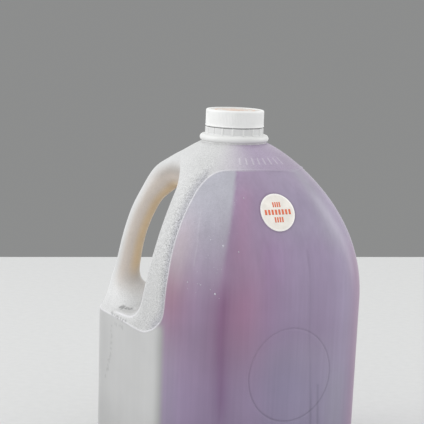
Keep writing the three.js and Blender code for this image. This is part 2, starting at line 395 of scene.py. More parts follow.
def scoop_outline():
    foot, head, crown, leave = SCOOP_WALL_FOOT, SCOOP_WALL_HEAD, SCOOP_CROWN, SCOOP_EXIT
    points = [(SCOOP_OUT_X, SCOOP_FLOOR_Z), (SCOOP_FLOOR_X, SCOOP_FLOOR_Z)]
    points += quadratic(points[-1], (foot[0] - 4, SCOOP_FLOOR_Z), foot, 10)
    points.append(head)
    points += quadratic(head, (head[0] + 1.2, head[1] + 9), crown, 8)
    points += quadratic(crown, (leave[0] + 13, crown[1] - 2), leave, 8)
    points.append((SCOOP_OUT_X, leave[1] + 8))
    return np.array(points, float)


SCOOP = scoop_outline()


def scoop_distance(x, z):
    """Signed distance in the XZ plane from the scoop's profile, below 0 inside it."""
    shape = np.broadcast_shapes(x.shape, z.shape)
    nearest = np.full(shape, 1e9)
    inside = np.zeros(shape, bool)
    for (ax, az), (bx, bz) in zip(SCOOP, np.roll(SCOOP, -1, axis=0)):
        along = bx - ax
        rise = bz - az
        t = np.clip(((x - ax) * along + (z - az) * rise) / (along * along + rise * rise), 0, 1)
        nearest = np.minimum(nearest, (x - ax - t * along) ** 2 + (z - az - t * rise) ** 2)
        if rise != 0:
            crosses = ((az > z) != (bz > z)) & (x < ax + (z - az) * along / rise)
            inside ^= crosses
    return np.where(inside, -1, 1) * np.sqrt(nearest)


SWEEP = spline(HANDLE, HANDLE_STEPS)


def handle_frame(x, z):
    """For points in the XZ plane: offset across the handle, and its half depth and half width there."""
    tilt = np.radians(SWEEP[:, 4])
    dx = x[:, None] - SWEEP[:, 0]
    dz = z[:, None] - SWEEP[:, 1]
    above = dx * np.sin(tilt) + dz * np.cos(tilt)
    across = dz * np.sin(tilt) - dx * np.cos(tilt)
    between = (above[:, :-1] <= 0) & (above[:, 1:] > 0)
    share = np.where(between, -above[:, :-1] / np.where(between, above[:, 1:] - above[:, :-1], 1), 0)

    def blended(values):
        return values[..., :-1] * (1 - share) + values[..., 1:] * share

    offset = blended(across)
    deep = blended(np.broadcast_to(SWEEP[:, 2], across.shape))
    wide = blended(np.broadcast_to(SWEEP[:, 3], across.shape))
    best = np.argmin(np.where(between, np.abs(offset) / deep, FAR), axis=1)
    row = np.arange(len(x))
    found = between[row, best]
    return np.where(found, offset[row, best], FAR), deep[row, best], wide[row, best]


def handle_distance(x, y, z):
    """Signed distance, near enough, from the handle, and the place across it, up to 1 on its outside."""
    shape = np.broadcast_shapes(x.shape, z.shape)
    px = np.broadcast_to(x, shape).ravel()
    pz = np.broadcast_to(z, shape).ravel()
    offset = np.full(px.shape, float(FAR))
    deep = np.full(px.shape, float(AWAY_HALF))
    wide = deep.copy()
    near = (px < SWEEP[0, 0] + 2) & (pz > SWEEP[-1, 1]) & (pz < SKIN_TOP_Z)
    if y.shape == shape:
        near &= np.abs(y.ravel()) < HANDLE_REACH_Y
    offset[near], deep[near], wide[near] = handle_frame(px[near], pz[near])
    offset, deep, wide = (values.reshape(shape) for values in (offset, deep, wide))
    reach = np.sqrt((offset / deep) ** 2 + (y / wide) ** 2) + TINY
    steep = np.sqrt((offset / deep**2) ** 2 + (y / wide**2) ** 2) / reach + TINY
    distance = (reach - 1) / steep + HANDLE_FADE * np.maximum(HANDLE_FADE_Z - z, 0)
    return distance, np.clip(offset / deep, -1, 1)


def skin_distance(x, y, z):
    """Signed distance, near enough, from the outside of the jug below its neck."""
    edge = SCOOP_EDGE + (LEDGE_EDGE - SCOOP_EDGE) * ramp(*LEDGE_Z, z)
    hollowed = smooth_max(body_distance(x, y, z), -scoop_distance(x, z), edge)
    handle, outer = handle_distance(x, y, z)
    flank = ramp(*SHOULDER_Z, z) * ramp(*SHOULDER_SIDE, outer)
    return smooth_min(hollowed, handle, HANDLE_BLEND + (SHOULDER_BLEND - HANDLE_BLEND) * flank)


def distance_at(points):
    return skin_distance(*points.T)


def distance_and_slope(points):
    nudge = 0.03
    here = distance_at(points)
    parts = [(distance_at(points + axis) - here) / nudge for axis in np.eye(3) * nudge]
    return here, np.stack(parts, axis=1)


def on_skin(points, rounds=3):
    """Points moved on to the skin, and the outward direction there."""
    points = np.array(points, float)
    for _ in range(rounds):
        distance, slope = distance_and_slope(points)
        square = np.maximum((slope * slope).sum(axis=1), 0.05)
        step = np.clip(distance / square, -SKIN_STEP, SKIN_STEP)
        points -= step[:, None] * slope
    return points, slope / np.linalg.norm(slope, axis=1)[:, None]


def surface_net(values, low, step):
    """Vertices and quads of the zero surface of a grid of values."""
    inside = values < 0
    cells = tuple(n - 1 for n in values.shape)
    total = np.zeros(cells + (3,))
    count = np.zeros(cells)

    def corner(grid, at):
        return grid[tuple(slice(a, a + n) for a, n in zip(at, cells))]

    for axis in range(3):
        for side in range(4):
            start = np.zeros(3, int)
            start[(axis + 1) % 3] = side % 2
            start[(axis + 2) % 3] = side // 2
            end = start.copy()
            end[axis] = 1
            a = corner(values, start)
            b = corner(values, end)
            crossed = corner(inside, start) != corner(inside, end)
            share = np.where(crossed, a / np.where(crossed, a - b, 1), 0)
            for k in range(3):
                total[..., k] += crossed * (start[k] + share * (end[k] - start[k]))
            count += crossed
    used = count > 0
    index = np.full(cells, -1)
    index[used] = np.arange(used.sum())
    vertices = low + step * (np.argwhere(used) + total[used] / count[used][:, None])
    quads = []
    for axis in range(3):
        ahead = np.roll(inside, -1, axis=axis)
        change = inside != ahead
        change[tuple(slice(-1, None) if k == axis else slice(None) for k in range(3))] = False
        at = np.argwhere(change)
        u = np.eye(3, dtype=int)[(axis + 1) % 3]
        v = np.eye(3, dtype=int)[(axis + 2) % 3]
        ring = [index[tuple((at - off).T)] for off in (u + v, v, 0 * u, u)]
        faces = np.stack(ring, axis=1)
        turned = ~inside[tuple(at.T)]
        faces[turned] = faces[turned][:, ::-1]
        quads.append(faces)
    return vertices, np.concatenate(quads)


def skin_mesh(inset=0, top_z=math.inf):
    """Vertices and quads of the skin, moved inwards by inset and cut level at top_z."""
    low = np.array([-GRID_SIDE, -GRID_SIDE, -GRID_MARGIN], float)
    high = np.array([GRID_SIDE, GRID_SIDE, SKIN_TOP_Z + GRID_MARGIN], float)
    counts = np.ceil((high - low) / SKIN_STEP).astype(int) + 1
    x, y, z = (low[k] + SKIN_STEP * np.arange(counts[k]) for k in range(3))
    x = x[:, None, None]
    y = y[None, :, None]
    z = z[None, None, :]
    values = np.maximum(skin_distance(x, y, z) + inset, z - top_z)
    return surface_net(values, low, SKIN_STEP)


def new_object(name, vertices, faces):
    """A smooth mesh object from points in millimetres."""
    mesh = bpy.data.meshes.new(name)
    mesh.from_pydata((np.asarray(vertices) * MM).tolist(), [], np.asarray(faces).tolist())
    mesh.shade_smooth()
    made = bpy.data.objects.new(name, mesh)
    scene.collection.objects.link(made)
    return made


def points_of(made):
    co = np.zeros(len(made.data.vertices) * 3)
    made.data.vertices.foreach_get("co", co)
    return co.reshape(-1, 3) / MM


def set_points(made, points):
    made.data.vertices.foreach_set("co", (points * MM).ravel())
    made.data.update()


def turn_of(points):
    """Angle from +X, 0 to 180 degrees, the same on both sides of the handle's plane."""
    return np.degrees(np.abs(np.arctan2(points[:, 1], points[:, 0])))


def place_on_body(angle, z):
    """Points of the skin at angles and heights, reached from outside in short steps."""
    angle = np.radians(angle)
    far = half_side(z) * 1.15
    start = np.stack([far * np.cos(angle), far * np.sin(angle), z], axis=1)
    for _ in range(12):
        gap = distance_at(start)
        start[:, 0] -= 0.8 * gap * np.cos(angle)
        start[:, 1] -= 0.8 * gap * np.sin(angle)
    return start


LINE_CURVE = spline(MOULD_LINE, LINE_STEPS)


def mould_line_points():
    half = place_on_body(LINE_CURVE[:, 0], LINE_CURVE[:, 1])
    return np.vstack([half, half * (1, -1, 1)])


def ring_points():
    angle = np.linspace(0, 2 * math.pi, 720, endpoint=False)
    along = RING_SHIFT + RING_RADIUS * np.cos(angle)
    z = RING_Z + RING_RADIUS * np.sin(angle)
    side = half_side(z)
    return np.stack([(along + side) / SQRT2, (along - side) / SQRT2, z], axis=1)


def resampled(rows, step):
    """Points a step apart along a line of straight stretches."""
    rows = np.array(rows, float)
    lengths = np.concatenate([[0], np.cumsum(np.linalg.norm(np.diff(rows, axis=0), axis=1))])
    at = np.arange(0, lengths[-1], step)
    return np.stack([np.interp(at, lengths, column) for column in rows.T], axis=1)


def crest_points():
    last = int(np.argmax(SCOOP[:, 1] >= SCOOP_CROWN[1]))
    x, z = resampled([CREST_START, *SCOOP[1:last]], CREST_STEP).T
    inside = np.zeros_like(x)
    outside = np.full_like(x, 120.0)
    for _ in range(20):
        middle = (inside + outside) / 2
        out = body_distance(x, middle, z) > 0
        outside = np.where(out, middle, outside)
        inside = np.where(out, inside, middle)
    half, _ = on_skin(np.stack([x, inside, z], axis=1), 6)
    return np.vstack([half, half * (1, -1, 1)])


def traced(rows):
    """Points of the skin along rows of angle and height."""
    angle, z = resampled(rows, TRACE_STEP).T
    return place_on_body(angle, z)


def fleck_points(start, end, count, rng):
    """Points of short random strokes on the skin between two ends."""
    start, end = np.array(start, float), np.array(end, float)
    strokes = []
    for i in range(count):
        middle = start + (end - start) * (i + rng.random()) / count + rng.normal(0, FLECK_SCATTER, 3)
        half = rng.normal(0, 1, 3) * FLECK_LENGTH / 4
        strokes.append(middle + np.linspace(-1, 1, 9)[:, None] * half)
    return on_skin(np.vstack(strokes), 4)[0]


def bar_points():
    points = []
    for angle in np.linspace(*BAR_ANGLES, BAR_COUNT):
        z = np.linspace(*BAR_Z, 16)
        points.append(place_on_body(np.full(z.shape, angle), z))
    return np.vstack(points)


def nearest_distance(points, line, reach):
    """Distance of each point from a line given as close points, no more than reach."""
    tree = KDTree(len(line))
    for i, p in enumerate(line):
        tree.insert(p, i)
    tree.balance()
    low = line.min(axis=0) - reach
    high = line.max(axis=0) + reach
    close = np.flatnonzero(((points > low) & (points < high)).all(axis=1))
    distance = np.full(len(points), float(reach))
    for i in close:
        distance[i] = min(reach, tree.find(points[i])[2])
    return distance


def refine(made, near, reach):
    """Splits the faces that have a corner nearer than reach."""
    mesh = bmesh.new()
    mesh.from_mesh(made.data)
    mesh.verts.ensure_lookup_table()
    chosen = {edge for i in np.flatnonzero(near < reach) for edge in mesh.verts[i].link_edges}
    bmesh.ops.subdivide_edges(mesh, edges=list(chosen), cuts=1, use_grid_fill=True)
    mesh.to_mesh(made.data)
    mesh.free()


def relief(made, lines):
    """Splits the skin along lines of (points, height, width) and raises or sinks them.
    Gives the points before that, and how much each point lies on each line."""
    for reach in REFINE_REACHES:
        near = np.full(len(made.data.vertices), FAR, float)
        for line, _, _ in lines:
            near = np.minimum(near, nearest_distance(points_of(made), line, RELIEF_REACH))
        refine(made, near, reach)
    set_points(made, on_skin(points_of(made), 2)[0])
    points, outward = on_skin(points_of(made), 1)
    raised = points.copy()
    shares = []
    for line, height, width in lines:
        shares.append(hump(nearest_distance(points, line, RELIEF_REACH), 0, width))
        raised += outward * (height * shares[-1])[:, None]
    set_points(made, raised)
    made.data.shade_smooth()
    return points, shares


def welded(made, depth=0, outwards=False):
    """Joins points that lie together; may give a sheet a depth inwards and turn all faces outwards."""
    mesh = bmesh.new()
    mesh.from_mesh(made.data)
    bmesh.ops.remove_doubles(mesh, verts=mesh.verts[:], dist=WELD)
    if depth:
        bmesh.ops.solidify(mesh, geom=mesh.faces[:], thickness=depth * MM)
    if outwards:
        bmesh.ops.recalc_face_normals(mesh, faces=mesh.faces[:])
    mesh.to_mesh(made.data)
    mesh.free()
    return made


def lathe(name, profile, columns, ripple=None):
    """A turned piece from rows of (radius, z); ripple adds to the radius by row and angle."""
    angle = np.linspace(0, 2 * math.pi, columns + 1)
    vertices = []
    for radius, z in profile:
        r = radius + (ripple(radius, z, angle) if ripple else 0)
        vertices.append(np.stack([r * np.cos(angle), r * np.sin(angle), np.full(len(angle), z)], axis=1))
    return welded(new_object(name, np.vstack(vertices), grid_faces(columns, len(profile) - 1)))


def arc(centre, radius, start, end, steps):
    """Rows of (radius, z) along an arc, angles in degrees from the outward direction."""
    angle = np.radians(np.linspace(start, end, steps))
    return [(centre[0] + radius * math.cos(a), centre[1] + radius * math.sin(a)) for a in angle]


def make_neck():
    foot = BEAD_Z + BEAD_ROUND
    sunk = SKIN_TOP_Z - NECK_SUNK
    top = CAP_FOOT_Z + FINISH_HIDDEN
    profile = [(0, sunk), (NECK_FOOT_RADIUS - 0.1, sunk), (NECK_FOOT_RADIUS, SKIN_TOP_Z - 0.4)]
    profile += arc((BEAD_RADIUS - BEAD_ROUND, BEAD_Z), BEAD_ROUND, -70, 78, 22)
    profile += arc((COLLAR_RADIUS + COLLAR_FILLET, foot + 0.7), COLLAR_FILLET, 250, 180, 6)
    profile += [(COLLAR_RADIUS, z) for z in np.linspace(foot + 0.9, COLLAR_TOP_Z - COLLAR_EDGE, 12)]
    profile += arc((COLLAR_RADIUS - COLLAR_EDGE, COLLAR_TOP_Z - COLLAR_EDGE), COLLAR_EDGE, 0, 90, 6)
    profile += [(FINISH_RADIUS, COLLAR_TOP_Z), (FINISH_RADIUS, top), (0, top)]

    def ribs(radius, z, angle):
        if radius < COLLAR_RADIUS - 0.5 or z < foot + 0.2:
            return 0
        pitch = 2 * math.pi / RIB_COUNT
        off = np.abs((angle - RIB_SHIFT * pitch + pitch / 2) % pitch - pitch / 2) * COLLAR_RADIUS
        return RIB_HEIGHT * (1 - ramp(RIB_WIDTH / 2 - 0.25, RIB_WIDTH / 2 + 0.3, off))

    made = lathe("neck", profile, 640, ribs)
    points = points_of(made)
    radius = np.hypot(points[:, 0], points[:, 1])
    between = ramp(foot, foot + 0.7, points[:, 2])
    between *= ramp(COLLAR_RADIUS + RIB_HEIGHT * 0.8, COLLAR_RADIUS + RIB_HEIGHT * 0.3, radius)
    set_colours(made, "wall_colour", mixed(BEAD, COLLAR, between))
    set_values(made, "stipple", np.zeros(len(points)))
    set_values(made, "streak", np.full(len(points), 0.3))
    return made


def make_cap():
    recess_z = CAP_TOP_Z - CAP_RECESS
    rim = CAP_RADIUS - CAP_RIM
    inner = FINISH_RADIUS + CAP_GAP
    bead = (CAP_RADIUS + CAP_BEAD_OUT - CAP_BEAD, CAP_FOOT_Z + CAP_BEAD)
    profile = [(inner, CAP_FOOT_Z + 3), (inner, CAP_FOOT_Z)]
    profile += arc(bead, CAP_BEAD, -90, 60, 9)
    profile += [(CAP_RADIUS, z) for z in np.linspace(CAP_FOOT_Z + 1.3, CAP_TOP_Z - CAP_EDGE - 0.2, 16)]
    profile += arc((CAP_RADIUS - CAP_EDGE, CAP_TOP_Z - CAP_EDGE), CAP_EDGE, 0, 90, 9)
    profile += arc((rim + CAP_RIM_EDGE, CAP_TOP_Z - CAP_RIM_EDGE), CAP_RIM_EDGE, 90, 180, 5)
    profile += [(rim, recess_z + 0.2), (rim - 0.2, recess_z), (rim * 0.5, recess_z), (0, recess_z)]

    def knurls(radius, z, angle):
        low = ramp(*KNURL_LOW, z - CAP_FOOT_Z)
        high = ramp(KNURL_HIGH[1], KNURL_HIGH[0], CAP_TOP_Z - z)
        wave = 0.5 - 0.5 * np.cos(KNURL_COUNT * angle)
        return -KNURL_DEPTH * low * high * wave**2 if radius > rim + 0.5 else 0

    return lathe("screw_cap", profile, 960, knurls)


def make_cap_disc():
    low = CAP_TOP_Z - CAP_RECESS + 0.02
    high = CAP_TOP_Z - CAP_RECESS + CAP_LABEL_LIFT
    edge = CAP_LABEL_RADIUS
    profile = [(0, low), (edge, low), (edge, high - CAP_LABEL_EDGE), (edge - CAP_LABEL_EDGE, high)]
    profile += [(edge * 0.5, high), (0, high)]
    return lathe("cap_disc", profile, 128)


def flat_patch(corners, z, steps):
    """Points and faces of a four-sided patch in plan at height z."""
    a, b, c, d = (np.array([*corner, z], float) for corner in corners)
    share = np.linspace(0, 1, steps + 1)
    u, v = (grid.reshape(-1, 1) for grid in np.meshgrid(share, share))
    return (a * (1 - u) + b * u) * (1 - v) + (d * (1 - u) + c * u) * v, grid_faces(steps, steps)


def grid_faces(across, up):
    row, column = np.meshgrid(np.arange(up), np.arange(across), indexing="ij")
    low = row * (across + 1) + column
    high = low + across + 1
    return np.stack([low, low + 1, high + 1, high], axis=-1).reshape(-1, 4)


def joined(patches):
    """One list of points and one of faces from several."""
    points, faces = zip(*patches)
    starts = np.cumsum([0] + [len(some) for some in points])
    return np.vstack(points), np.vstack([quads + start for quads, start in zip(faces, starts)])


def make_cap_print():
    z = CAP_TOP_Z - CAP_RECESS + CAP_LABEL_LIFT + PRINT_LIFT
    inner, outer = CAP_RING
    patches = []
    for start in np.arange(0, 360, CAP_RING_STEP):
        if start % 90 >= CAP_RING_GAP:
            low = np.radians(start)
            high = np.radians(start + CAP_RING_STEP)
            ends = ((inner, low), (outer, low), (outer, high), (inner, high))
            patches.append(flat_patch([(r * math.cos(a), r * math.sin(a)) for r, a in ends], z, 1))
    for y, half in CAP_BARS:
        low = y - CAP_BAR_HALF
        high = y + CAP_BAR_HALF
        patches.append(flat_patch([(-half, low), (half, low), (half, high), (-half, high)], z, 2))
    return welded(new_object("cap_print", *joined(patches)), PRINT_LIFT, outwards=True)


def sticker_frame():
    """Middle of the sticker on the skin and its outward, right and up directions."""
    middle, outward = on_skin(place_on_body(np.array([-45]), np.array([LABEL_Z])))
    right = np.array([1, 1, 0]) / SQRT2
    up = np.cross(outward[0], right)
    return middle[0], outward[0], right, up


def on_sticker(u, v, lift):
    """Points at u, v on the sticker, lifted off the skin."""
    middle, outward, right, up = sticker_frame()
    points = middle + u[:, None] * right + v[:, None] * up
    for _ in range(6):
        points = points - distance_at(points)[:, None] * outward
    _, normal = on_skin(points, 1)
    return points + normal * lift[:, None]


def make_sticker():
    columns = 120
    flat = np.linspace(0, LABEL_RADIUS - LABEL_EDGE, 22)
    rings = np.concatenate([flat, [LABEL_RADIUS, LABEL_RADIUS]])
    lifts = np.concatenate([np.full(len(flat), LABEL_LIFT), [LABEL_LIFT - 0.1, -LABEL_SUNK]])
    angle = np.linspace(0, 2 * math.pi, columns + 1)
    u = (rings[:, None] * np.cos(angle)).ravel()
    v = (rings[:, None] * np.sin(angle)).ravel()
    points = on_sticker(u, v, np.repeat(lifts, columns + 1))
    made = new_object("sticker", points, grid_faces(columns, len(rings) - 1))
    welded(made, outwards=True)
    radius = np.linalg.norm(points_of(made) - sticker_frame()[0], axis=1)
    rim = ramp(LABEL_RADIUS - LABEL_RIM - 0.3, LABEL_RADIUS - LABEL_RIM + 0.3, radius)
    set_colours(made, "paper_colour", mixed(PAPER, PAPER_RIM, rim))
    return made


def make_sticker_print():
    half = PRINT_BLOCK_HEIGHT / 2
    patches = []
    for row_v, count, pitch in PRINT_ROWS:
        wide = pitch * PRINT_BLOCK_SHARE
        for i in range(count):
            middle_u = (i - (count - 1) / 2) * pitch
            u, v = np.meshgrid(np.linspace(-wide / 2, wide / 2, 4), np.linspace(-half, half, 6))
            lift = np.full(u.size, LABEL_LIFT + PRINT_LIFT)
            patches.append((on_sticker(middle_u + u.ravel(), row_v + v.ravel(), lift), grid_faces(3, 5)))
    return welded(new_object("sticker_print", *joined(patches)), PRINT_LIFT, outwards=True)


def label_edge_points():
    angle = np.linspace(0, 2 * math.pi, 300, endpoint=False)
    reach = LABEL_RADIUS + LABEL_SHADE_WIDTH / 2
    return on_sticker(reach * np.cos(angle), reach * np.sin(angle), np.zeros_like(angle))


def drop(middle, outward, radius):
    """Points and faces of a flattened bead that sits half sunk in the skin."""
    columns, rows = 12, 8
    side = np.cross(outward, (0, 0, 1))
    side /= np.linalg.norm(side)
    up = np.cross(side, outward)
    turn = np.linspace(0, 2 * math.pi, columns + 1)
    rise = np.linspace(-math.pi / 2, math.pi / 2, rows + 1)[:, None]
    out = DROP_FLAT * radius * np.sin(rise) * np.ones_like(turn)
    across = radius * np.cos(rise) * np.cos(turn)
    along = DROP_LONG * radius * np.cos(rise) * np.sin(turn)
    points = middle + sum(a.reshape(-1, 1) * b for a, b in ((out, outward), (across, side), (along, up)))
    return points, grid_faces(columns, rows)


def make_drops():
    rng = np.random.default_rng(SEED)
    rows = list(DROPS)
    for _ in range(FINE_DROPS):
        angle = rng.normal(*FINE_DROP_ANGLE)
        z = rng.uniform(*FINE_DROP_Z)
        rows.append((angle, z, FINE_DROP_RADIUS[0] + FINE_DROP_RADIUS[1] * rng.random()))
    angle, z, radius = np.array(rows).T
    points, outward = on_skin(place_on_body(-angle, z))
    return welded(new_object("drops", *joined([drop(*row) for row in zip(points, outward, radius)])))


def mixed(a, b, share):
    return a * (1 - share[:, None]) + b * share[:, None]


def line_turn(z):
    """Angle of the mould line at height z on the walls."""
    rows = LINE_CURVE[(LINE_CURVE[:, 0] < LINE_FOOT[0]) & (LINE_CURVE[:, 0] > LINE_HEAD[0])]
    return np.interp(z, rows[:, 1], rows[:, 0])


def grip_share(points):
    """1 inside the mould line, on the stippled side, and 0 outside it."""
    turn = turn_of(points)
    z = points[:, 2]
    corner_turn, corner_z = MOULD_LINE[0]
    floor = np.interp(turn, (LINE_FOOT[0], corner_turn), (LINE_FOOT[1], corner_z))
    aside = ramp(-0.6, 0.6, turn - line_turn(z)) * ramp(-0.5, 0.5, z - floor)
    return np.maximum(aside, ramp(*LINE_TOP_Z, z))


def tea_colours(turn, z):
    """Colours of the clearer part of the wall, where the tea shows through, by angle and height, with
    painted light and shade.
    """
    edge = np.interp(z, *np.transpose(SHADE_EDGE))
    # Mauve, lavender towards +X, bluer within the ring.
    colour = mixed(MAUVE, LAVENDER, 0.8 * ramp(60, 30, turn))
    colour = mixed(colour, BLUE_GREY, 0.7 * hump(turn, 45, 14) * hump(z, 70, 40))
    # Painted glow of the light that falls through the tea: rose on the lit side of the dark edge, high and
    # low, and beside the mould line.
    painted_glow_high = hump(turn, edge - 6, 6) * ramp(140, 165, z) * ramp(218, 195, z)
    painted_glow_low = hump(turn, edge - 10, 12) * hump(z, 122, 34)
    painted_glow_beside_line = hump(turn, 101, 10) * hump(z, 133, 28)
    colour = mixed(colour, ROSE, 0.8 * painted_glow_high)
    colour = mixed(colour, DEEP_ROSE, 0.9 * np.maximum(painted_glow_low, painted_glow_beside_line))
    # Painted light between the dark edge and the mould line, rose-tinted beside the line, and a pale top.
    colour = mixed(colour, PAINTED_LIGHT, ramp(edge - 0.8, edge + 2.2, turn) * ramp(120, 205, z))
    colour = mixed(colour, PAINTED_ROSE_LIGHT, 0.6 * hump(turn, 98, 6) * hump(z, 168, 16))
    colour = mixed(colour, TOP_MAUVE, 0.4 * ramp(edge + 1, edge - 3, turn) * ramp(194, 208, z))
    # Painted shade along the dark edge, steep towards the handle and softer on the lit side.
    dark = 0.17 * hump(turn, edge - 1.2, 2.2)
    dark += 0.06 * hump(turn, edge - 3.5, 3) + 0.08 * hump(turn, edge, 6)
    dark *= (0.15 + 0.85 * ramp(150, 125, z)) * ramp(192, 160, z) * ramp(30, 65, z)
    colour *= 1 - dark[:, None] * (0.8, 1.3, 0.85)
    # Slow changes of brightness and tint: painted shade beside the line and towards the foot, cooler low
    # down.
    dim = (0.06 + 0.1 * hump(z, 136, 26)) * ramp(88, 98, turn) * ramp(178, 150, z)
    dim += 0.07 * ramp(122, 104, z) + 0.1 * ramp(62, 28, z)
    cooler = ramp(100, 60, z)[:, None] * (-0.03, 0, 0.03)
    redder = 0.06 * ramp(62, 54, turn) * ramp(8, 16, turn) * ramp(84, 112, z)
    redder *= ramp(178, 160, z) * (1 + 0.6 * hump(turn, 51, 8) * hump(z, 152, 14))
    greener = 0.05 * hump(turn, 100, 5) * ramp(112, 92, z)
    warmer = 0.09 * hump(turn, 101, 8) * hump(z, 140, 28)
    tint = np.transpose([0 * z, greener - redder, -warmer])
    colour *= 1 - dim[:, None] + cooler + tint
    # A painted highlight beside the +X corner, and rose on the corner.
    gleam = mixed(PAINTED_LIGHT, LAVENDER * 1.25, ramp(60, 90, z) * ramp(172, 150, z))
    colour = mixed(colour, gleam, (0.28 + 0.12 * ramp(100, 130, z)) * hump(turn, 13, 6))
    return mixed(colour, DEEP_ROSE * 0.86, 0.6 * ramp(12, 0, turn) * ramp(175, 145, z))


def skin_colours(points, near_line):
    """Colours of the skin, and how stippled and how streaky it is."""
    turn = turn_of(points)
    z = points[:, 2]
    grip = grip_share(points)
    # Pale faces below the ledge, partly a cloudier wall and partly painted light, with painted shade at the
    # foot, at the handle's corner and beside the tea.
    face = ramp(102, 107.5, turn) * ramp(114, 104, z)
    shadow = 0.08 * ramp(55, 25, z) + 0.12 * ramp(152, 172, turn)
    shadow += 0.38 * ramp(114, 104, turn)
    colour = mixed(tea_colours(turn, z), PALE * (1 - shadow)[:, None], face)
    # Grip: pale, partly a cloudier wall and partly painted light; more painted light at the shoulder and
    # the ledge, darker lower down, a painted shade band beside the mould line, mauve above the tea.
    lit = 1 + 0.07 * hump(turn, 122, 18) * hump(z, 206, 9) - 0.08 * ramp(160, 130, z)
    lit += 0.16 * ramp(124, 138, turn) * hump(z, 120, 12)
    cloudy_and_lit = mixed(GRIP * lit[:, None], TOP_MAUVE, ramp(101, 45, turn))
    beside = ramp(13, 1, near_line) * ramp(91, 96, turn) * ramp(124, 112, turn)
    cloudy_and_lit = mixed(cloudy_and_lit, GRIP_SHADE, 0.8 * beside**2)
    colour = mixed(colour, cloudy_and_lit, grip)
    # Handle: cream, partly painted shade on its flanks; painted shade in the nook under the shoulder,
    # painted shade and light across its round, tan on its inner side.
    distance, outer = handle_distance(*points.T)
    handle = ramp(5, 0, distance) * ramp(112, 136, z)
    beige = ramp(0.75 + 0.2 * ramp(185, 200, z), -0.1, outer) * ramp(220, 206, z)
    colour = mixed(colour, CREAM, handle * beige)
    nook = 0.34 * hump(outer, 0.2, 0.35) * ramp(196, 207, z) * ramp(219, 210, z)
    turned = 0.1 * hump(outer, 0.28, 0.3) - 0.07 * ramp(-0.1, -0.5, outer)
    colour *= (1 - handle * (nook + turned * ramp(206, 194, z)))[:, None]
    colour = mixed(colour, TAN, handle * ramp(-0.35, -0.95, outer) * ramp(122, 140, z))
    # Stipple: strongest on the strip beside the mould line, with a trace of mist on the tea's side.
    strip = ramp(19, 7, near_line) * ramp(91, 96, turn) * ramp(145, 120, turn)
    rough = strip * (0.16 + 0.34 * hump(z, 152, 36)) + 0.1 * beside
    misted = ramp(75, 80, turn) * ramp(135, 185, z) * (1 - grip)
    stipple = grip * (0.13 + rough) * (1 - 0.6 * handle) + 0.08 * misted
    away = ramp(28, 14, turn) * ramp(192, 204, z) * ramp(227, 221, z)
    colour *= (1 - 0.12 * away)[:, None]
    return colour, stipple, (1 - 0.7 * np.maximum(face, grip))


def set_colours(made, name, colours):
    attribute = made.data.color_attributes.new(name, "FLOAT_COLOR", "POINT")
    rgba = np.hstack([colours, np.ones((len(colours), 1))])
    attribute.data.foreach_set("color", rgba.ravel())


def set_values(made, name, values):
    attribute = made.data.attributes.new(name, "FLOAT", "POINT")
    attribute.data.foreach_set("value", np.asarray(values, np.float32))


class Nodes:
    """A short way to build a node material with one Principled shader."""

    def __init__(self, name):
        self.material = bpy.data.materials.new(name)
        self.material.use_nodes = True
        self.tree = self.material.node_tree
        self.shader = self.tree.nodes["Principled BSDF"]
        self.place = self.tree.nodes.new("ShaderNodeTexCoord").outputs["Object"]

    def fill(self, node, sockets):
        """Links each socket of a node to the output it is given, or sets it to the value."""
        for key, value in sockets.items():
            if isinstance(value, bpy.types.NodeSocket):
                self.tree.links.new(value, node.inputs[key])
            else:
                node.inputs[key].default_value = value

    def add(self, kind, sockets, **settings):
        node = self.tree.nodes.new(kind)
        for key, value in settings.items():
            setattr(node, key, value)
        self.fill(node, sockets)
        return node.outputs

    def noise(self, scale, detail=2, stretch=(1, 1, 1)):
        placed = self.add("ShaderNodeMapping", {"Vector": self.place, "Scale": stretch})["Vector"]
        return self.add("ShaderNodeTexNoise", {"Vector": placed, "Scale": scale, "Detail": detail})["Fac"]

    def spread(self, source, low, high, from_low=0.3, from_high=0.7):
        sockets = {"Value": source, "To Min": low, "To Max": high}
        sockets.update({"From Min": from_low, "From Max": from_high})
        return self.add("ShaderNodeMapRange", sockets)["Result"]

    def times(self, a, b):
        return self.add("ShaderNodeMath", {0: a, 1: b}, operation="MULTIPLY")["Value"]

    def swing(self, source, depth, strength):
        """A factor that swings around 1 with a noise, by as much as the strength socket says."""
        sockets = {0: self.spread(source, -depth, depth), 1: strength, 2: 1}
        return self.add("ShaderNodeMath", sockets, operation="MULTIPLY_ADD")["Value"]

    def shaded(self, colour, factor):
        """A colour socket multiplied by a grey value socket."""
        return self.add("ShaderNodeVectorMath", {0: colour, "Scale": factor}, operation="SCALE")["Vector"]

    def two_tone(self, source, dark, light):
        """A colour between two, by a noise."""
        sockets = {"Factor": self.spread(source, 0, 1), "A": (*dark, 1), "B": (*light, 1)}
        return self.add("ShaderNodeMix", sockets, data_type="RGBA")["Result"]

    def attribute(self, name, output):
        return self.add("ShaderNodeAttribute", {}, attribute_name=name)[output]

    def bump(self, height, distance, strength=1):
        sockets = {"Height": height, "Distance": distance, "Strength": strength}
        return self.add("ShaderNodeBump", sockets)["Normal"]

    def finished(self, **sockets):
        """The material, with these sockets of its shader."""
        self.fill(self.shader, {key.replace("_", " "): value for key, value in sockets.items()})
        return self.material


